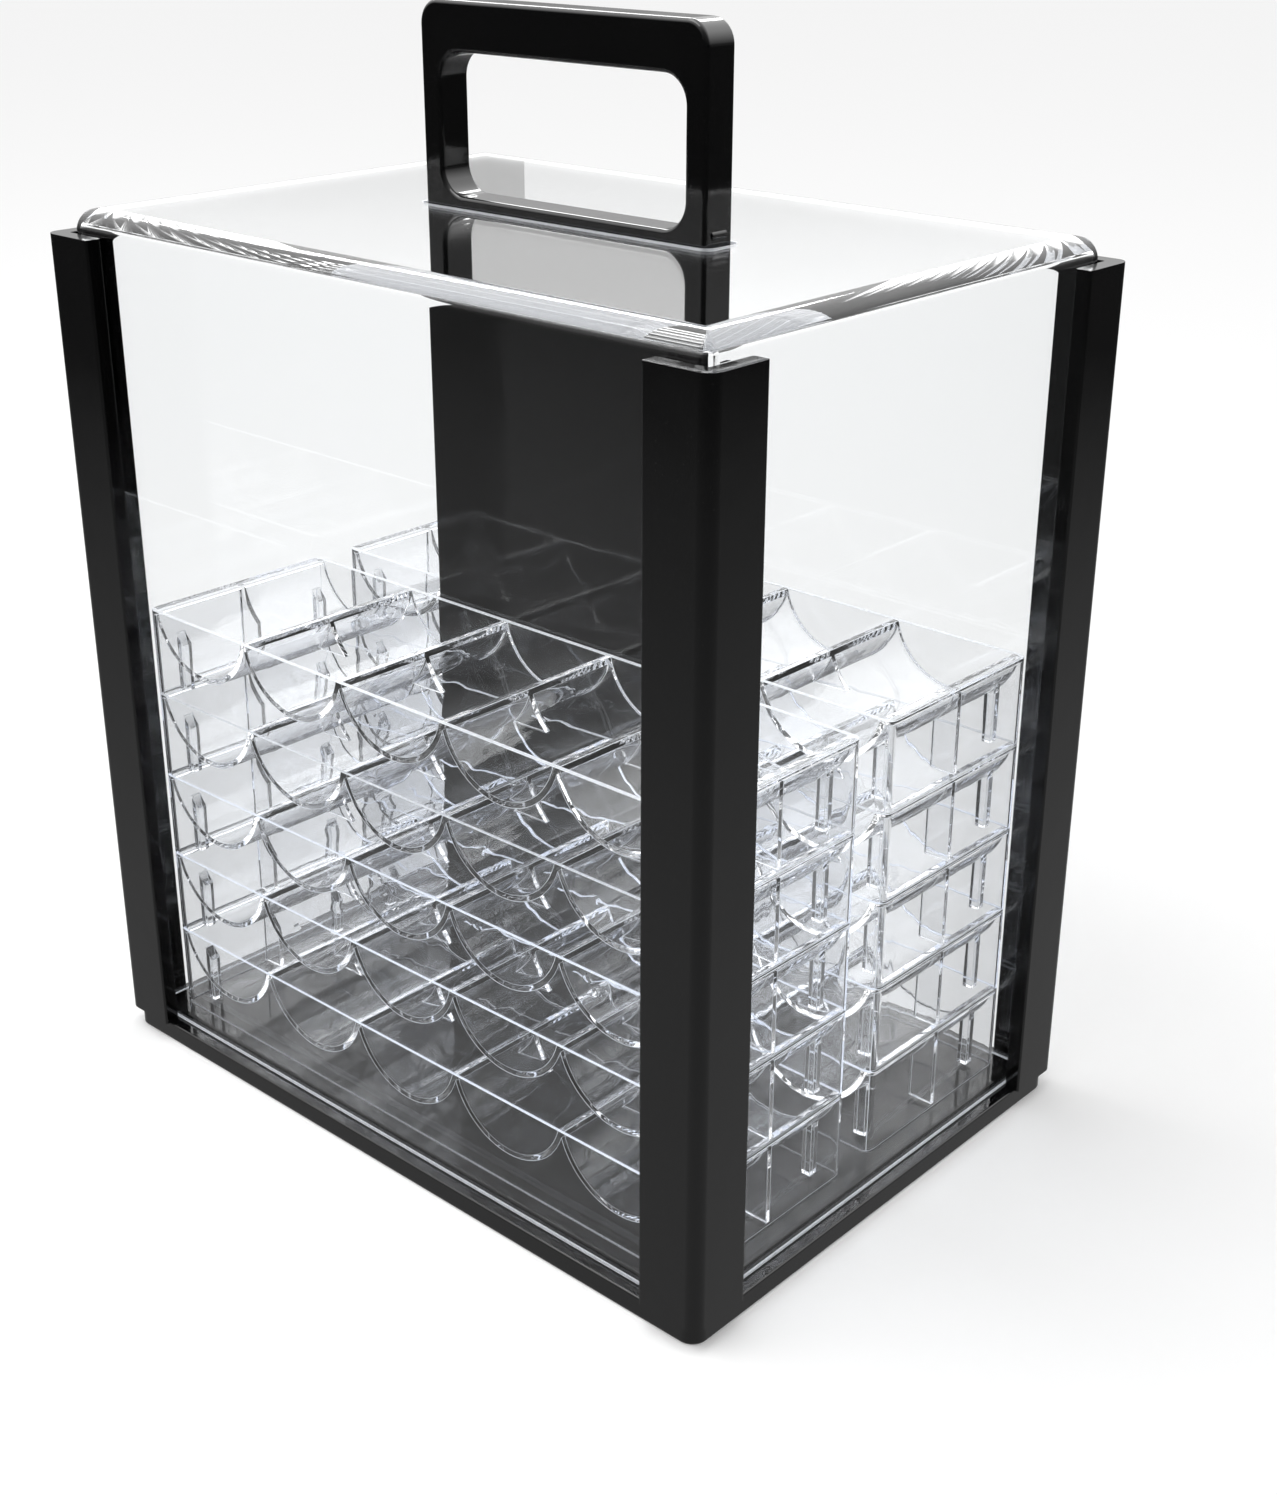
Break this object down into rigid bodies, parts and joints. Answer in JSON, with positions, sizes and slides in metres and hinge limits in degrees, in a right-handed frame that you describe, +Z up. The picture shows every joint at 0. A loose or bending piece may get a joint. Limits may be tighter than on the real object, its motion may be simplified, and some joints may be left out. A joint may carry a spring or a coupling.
{
  "type": "poker chip carrier",
  "caption": "Clear acrylic poker chip carrier: lift-off cover over stacked channelled chip trays, black base, corner posts and a board handle through the lid.",
  "frame": {"origin": "centre of the base's underside", "axes": "+X along the wide face, +Y along the narrow face towards the rear tray stack, +Z up to the handle"},
  "size_m": [0.254, 0.178, 0.33],
  "materials": {
    "black_acrylic": "polished opaque black acrylic",
    "clear_cover": "polished clear acrylic",
    "clear_tray": "moulded clear acrylic",
    "screw_steel": "zinc plated"
  },
  "bodies": {
    "carrier": {"base": "black_acrylic", "corner_post_front_left": "black_acrylic", "corner_post_front_right": "black_acrylic", "corner_post_rear_left": "black_acrylic", "corner_post_rear_right": "black_acrylic", "handle_board": "black_acrylic", "board_screws": "screw_steel"},
    "cover": {"cover": "clear_cover"},
    "tray_front_1": {"tray_front_1": "clear_tray"},
    "tray_front_2": {"tray_front_2": "clear_tray"},
    "tray_front_3": {"tray_front_3": "clear_tray"},
    "tray_front_4": {"tray_front_4": "clear_tray"},
    "tray_front_5": {"tray_front_5": "clear_tray"},
    "tray_rear_1": {"tray_rear_1": "clear_tray"},
    "tray_rear_2": {"tray_rear_2": "clear_tray"},
    "tray_rear_3": {"tray_rear_3": "clear_tray"},
    "tray_rear_4": {"tray_rear_4": "clear_tray"},
    "tray_rear_5": {"tray_rear_5": "clear_tray"}
  },
  "joints": [
    {"name": "cover_lift", "type": "slide", "parent": "carrier", "child": "cover", "axis": [0, 0, 1], "range_m": [0, 0.75]},
    {"name": "tray_front_1_lift", "type": "slide", "parent": "carrier", "child": "tray_front_1", "axis": [0, 0, 1], "range_m": [0, 0.11]},
    {"name": "tray_front_2_lift", "type": "slide", "parent": "tray_front_1", "child": "tray_front_2", "axis": [0, 0, 1], "range_m": [0, 0.11]},
    {"name": "tray_front_3_lift", "type": "slide", "parent": "tray_front_2", "child": "tray_front_3", "axis": [0, 0, 1], "range_m": [0, 0.11]},
    {"name": "tray_front_4_lift", "type": "slide", "parent": "tray_front_3", "child": "tray_front_4", "axis": [0, 0, 1], "range_m": [0, 0.11]},
    {"name": "tray_front_5_lift", "type": "slide", "parent": "tray_front_4", "child": "tray_front_5", "axis": [0, 0, 1], "range_m": [0, 0.11]},
    {"name": "tray_rear_1_lift", "type": "slide", "parent": "carrier", "child": "tray_rear_1", "axis": [0, 0, 1], "range_m": [0, 0.11]},
    {"name": "tray_rear_2_lift", "type": "slide", "parent": "tray_rear_1", "child": "tray_rear_2", "axis": [0, 0, 1], "range_m": [0, 0.11]},
    {"name": "tray_rear_3_lift", "type": "slide", "parent": "tray_rear_2", "child": "tray_rear_3", "axis": [0, 0, 1], "range_m": [0, 0.11]},
    {"name": "tray_rear_4_lift", "type": "slide", "parent": "tray_rear_3", "child": "tray_rear_4", "axis": [0, 0, 1], "range_m": [0, 0.11]},
    {"name": "tray_rear_5_lift", "type": "slide", "parent": "tray_rear_4", "child": "tray_rear_5", "axis": [0, 0, 1], "range_m": [0, 0.11]}
  ]
}
